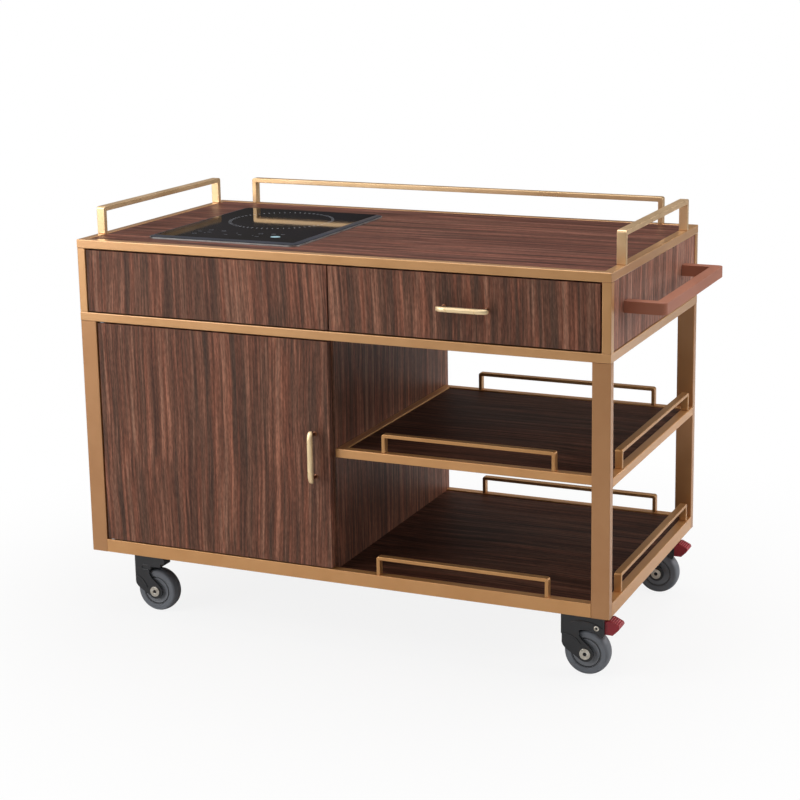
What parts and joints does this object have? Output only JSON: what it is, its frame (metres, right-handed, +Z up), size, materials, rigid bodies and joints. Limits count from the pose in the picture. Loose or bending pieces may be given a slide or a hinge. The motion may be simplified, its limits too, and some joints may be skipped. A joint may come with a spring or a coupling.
{
  "type": "flambe trolley",
  "caption": "Rolling flambe trolley with a built-in induction hob, a drawer, a cupboard, open guarded shelves, a push handle and swivel casters.",
  "frame": {"origin": "centre of the bounding box at floor level", "axes": "+X towards the push handle, +Y towards the back, +Z up"},
  "size_m": [1.338, 0.682, 0.946],
  "materials": {
    "frame_bronze": "satin bronze-gold plated steel tube",
    "zinc_steel": "zinc-plated sheet steel",
    "walnut": "satin dark walnut laminate with long reddish streaks",
    "dark_board": "matt dark board",
    "drawer_wood": "plain lacquered board",
    "champagne_guard": "satin champagne-gold plated flat bar",
    "shelf_guard": "satin bronze plated flat bar",
    "copper_handle": "satin copper-rose lacquer on steel tube",
    "hob_edge": "bright anodised rim",
    "ceramic_glass": "polished black ceramic glass",
    "copper_coil": "bare copper winding",
    "circuit_board": "green circuit board",
    "black_plastic": "moulded black plastic",
    "brass_pull": "polished pale brass",
    "fork_black": "satin black paint on pressed steel",
    "tyre_grey": "soft dark grey elastomer",
    "hub_grey": "moulded grey plastic",
    "axle_steel": "plated steel bolt",
    "pedal_red": "moulded red plastic"
  },
  "bodies": {
    "trolley": {"top_frame": "frame_bronze", "upper_posts": "frame_bronze", "mid_frame": "frame_bronze", "lower_posts": "frame_bronze", "base_frame": "frame_bronze", "shelf_frame": "frame_bronze", "support_angles": "zinc_steel", "hob_housing": "zinc_steel", "slide_outer": "zinc_steel", "door_hardware": "zinc_steel", "caster_plates": "zinc_steel", "worktop_board": "walnut", "side_panels": "walnut", "back_panels": "walnut", "fixed_front_panel": "walnut", "dividers": "walnut", "base_board": "walnut", "shelf_board": "walnut", "deck_board": "dark_board", "top_guard_left": "champagne_guard", "top_guard_back": "champagne_guard", "top_guard_right": "champagne_guard", "mid_guards": "shelf_guard", "mid_guard_right": "shelf_guard", "low_guards": "shelf_guard", "low_guard_right": "shelf_guard", "push_handle": "copper_handle", "hob_trim": "hob_edge", "hob_glass": "ceramic_glass", "induction_coil": "copper_coil", "hob_electronics": "circuit_board", "cable_gland": "black_plastic"},
    "drawer": {"drawer_front": "walnut", "drawer_box": "drawer_wood", "drawer_bottom": "drawer_wood", "drawer_pull": "brass_pull", "slide_inner": "zinc_steel"},
    "slide_mid": {"slide_middle": "zinc_steel"},
    "door": {"door_panel": "walnut", "door_pull": "brass_pull", "door_strike": "zinc_steel"},
    "fan": {"fan_rotor": "black_plastic"},
    "caster_front_left": {"fork_front_left": "fork_black", "axle_front_left": "axle_steel"},
    "wheel_front_left": {"tyre_front_left": "tyre_grey", "hub_front_left": "hub_grey"},
    "caster_front_right": {"fork_front_right": "fork_black", "axle_front_right": "axle_steel"},
    "wheel_front_right": {"tyre_front_right": "tyre_grey", "hub_front_right": "hub_grey"},
    "caster_back_left": {"fork_back_left": "fork_black", "axle_back_left": "axle_steel"},
    "wheel_back_left": {"tyre_back_left": "tyre_grey", "hub_back_left": "hub_grey"},
    "caster_back_right": {"fork_back_right": "fork_black", "axle_back_right": "axle_steel"},
    "wheel_back_right": {"tyre_back_right": "tyre_grey", "hub_back_right": "hub_grey"},
    "brake_front_right": {"pedal_front_right": "pedal_red"},
    "brake_back_right": {"pedal_back_right": "pedal_red"}
  },
  "joints": [
    {"name": "drawer_slide", "type": "slide", "parent": "trolley", "child": "drawer", "axis": [0, -1, 0], "range_m": [0, 0.45]},
    {"name": "slide_middle_travel", "type": "slide", "parent": "trolley", "child": "slide_mid", "axis": [0, -1, 0], "range_m": [0, 0.225]},
    {"name": "door_hinge", "type": "hinge", "parent": "trolley", "child": "door", "pos_m": [-0.6155, -0.3, 0.434], "axis": [0, 0, -1], "range_deg": [0, 110]},
    {"name": "fan_spin", "type": "hinge", "parent": "trolley", "child": "fan", "pos_m": [-0.248, -0.171, 0.826], "axis": [0, 0, 1], "continuous": true},
    {"name": "swivel_front_left", "type": "hinge", "parent": "trolley", "child": "caster_front_left", "pos_m": [-0.562, -0.247, 0.14], "axis": [0, 0, 1], "continuous": true},
    {"name": "spin_front_left", "type": "hinge", "parent": "caster_front_left", "child": "wheel_front_left", "pos_m": [-0.532, -0.247, 0.05], "axis": [0, 1, 0], "continuous": true},
    {"name": "swivel_front_right", "type": "hinge", "parent": "trolley", "child": "caster_front_right", "pos_m": [0.486, -0.247, 0.14], "axis": [0, 0, 1], "continuous": true},
    {"name": "spin_front_right", "type": "hinge", "parent": "caster_front_right", "child": "wheel_front_right", "pos_m": [0.516, -0.247, 0.05], "axis": [0, 1, 0], "continuous": true},
    {"name": "swivel_back_left", "type": "hinge", "parent": "trolley", "child": "caster_back_left", "pos_m": [-0.562, 0.279, 0.14], "axis": [0, 0, 1], "continuous": true},
    {"name": "spin_back_left", "type": "hinge", "parent": "caster_back_left", "child": "wheel_back_left", "pos_m": [-0.532, 0.279, 0.05], "axis": [0, 1, 0], "continuous": true},
    {"name": "swivel_back_right", "type": "hinge", "parent": "trolley", "child": "caster_back_right", "pos_m": [0.486, 0.279, 0.14], "axis": [0, 0, 1], "continuous": true},
    {"name": "spin_back_right", "type": "hinge", "parent": "caster_back_right", "child": "wheel_back_right", "pos_m": [0.516, 0.279, 0.05], "axis": [0, 1, 0], "continuous": true},
    {"name": "pedal_press_front_right", "type": "hinge", "parent": "caster_front_right", "child": "brake_front_right", "pos_m": [0.541, -0.247, 0.11], "axis": [0, 1, 0], "range_deg": [0, 14]},
    {"name": "pedal_press_back_right", "type": "hinge", "parent": "caster_back_right", "child": "brake_back_right", "pos_m": [0.541, 0.279, 0.11], "axis": [0, 1, 0], "range_deg": [0, 14]}
  ],
  "couplings": [
    {"joint": "slide_middle_travel", "follows": "drawer_slide", "ratio": 0.5}
  ]
}
